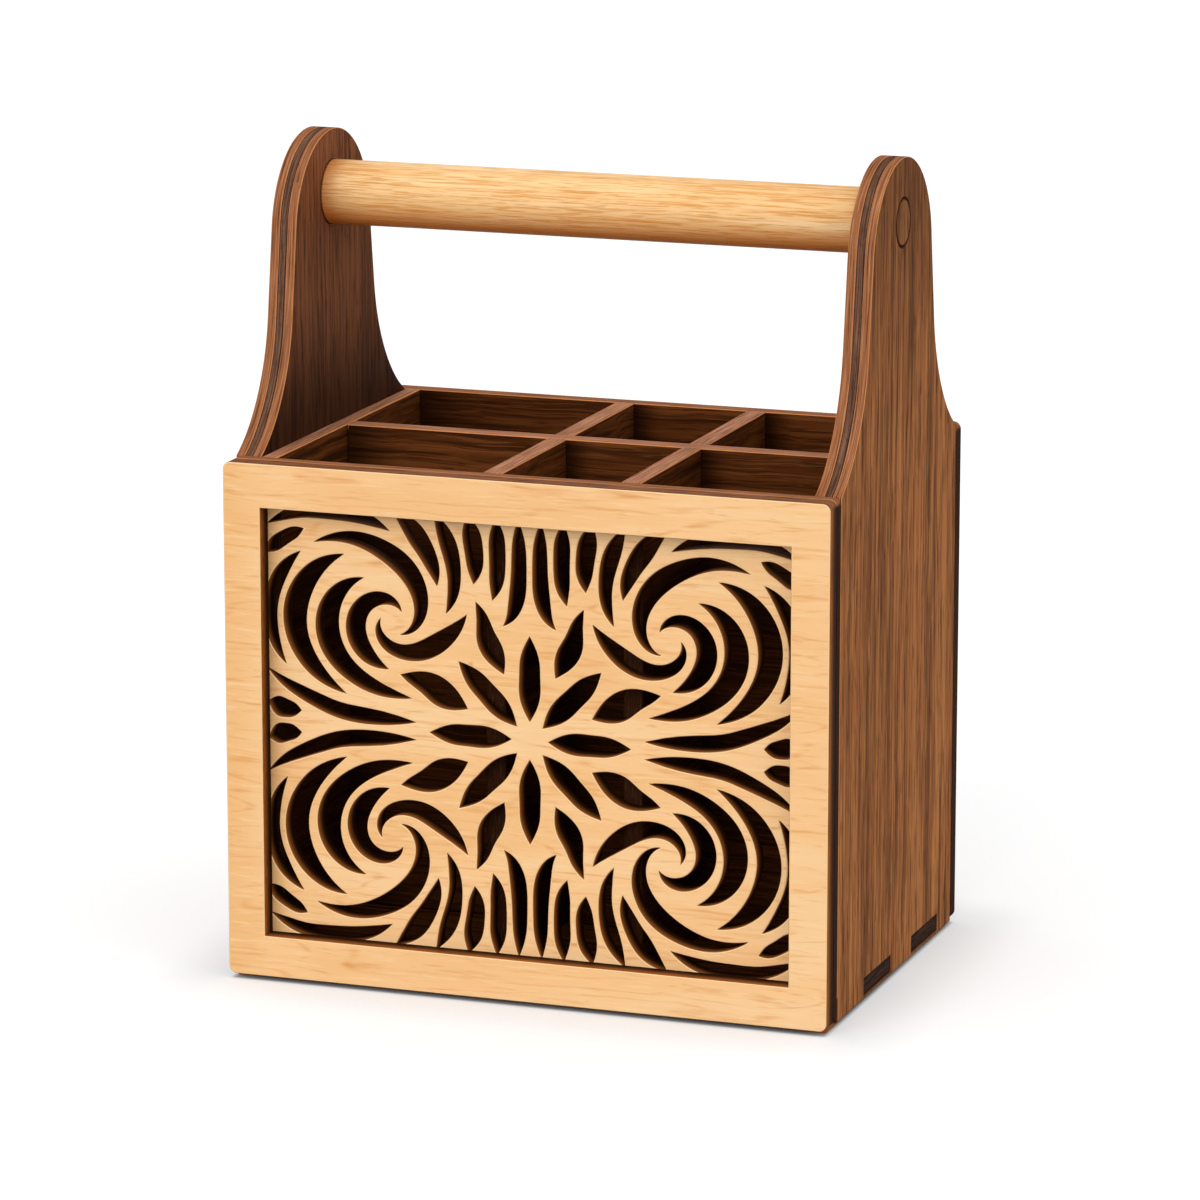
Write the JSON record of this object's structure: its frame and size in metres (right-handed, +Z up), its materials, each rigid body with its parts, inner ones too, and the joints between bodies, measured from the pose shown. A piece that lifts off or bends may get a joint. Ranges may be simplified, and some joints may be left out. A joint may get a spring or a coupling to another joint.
{
  "type": "wooden organizer caddy",
  "caption": "Open wooden box with an egg-crate of dividers, tall rounded end panels that carry a dowel handle, and a framed pierced floral fretwork front.",
  "frame": {"origin": "middle of the bounding box's footprint, on the surface the feet stand on", "axes": "+Z up, +X to the right along the handle, -Y towards the fretwork front"},
  "size_m": [0.24, 0.1696, 0.317],
  "materials": {
    "maple": "pale satin maple, faint horizontal grain",
    "oak": "pale satin dowel, grain along its length",
    "walnut": "satin brown walnut veneer, upright grain",
    "walnut_edge": "sawn and sanded plywood edge, brown",
    "ply_core": "grey-brown core ply",
    "walnut_interior": "dark oiled walnut inside",
    "end_grain": "dark end grain",
    "screw_steel": "plain zinc-plated steel"
  },
  "bodies": {
    "root": {"back_panel": "walnut", "bottom_panel": "end_grain", "cross_divider_1": "walnut_interior", "cross_divider_2": "walnut_interior", "end_liner": "walnut_interior", "foot_front_left": "end_grain", "foot_front_right": "end_grain", "foot_rear_left": "end_grain", "foot_rear_right": "end_grain", "fretwork_panel": "maple", "front_frame": "maple", "front_wall": "walnut_edge", "handle_dowel": "oak", "handle_plug_left": "walnut_edge", "handle_plug_right": "walnut_edge", "handle_screw_left": "screw_steel", "handle_screw_right": "screw_steel", "row_divider": "walnut_interior", "side_core_left": "ply_core", "side_core_right": "ply_core", "side_inner_left": "walnut", "side_inner_right": "walnut", "side_outer_left": "walnut", "side_outer_right": "walnut"}
  },
  "joints": []
}
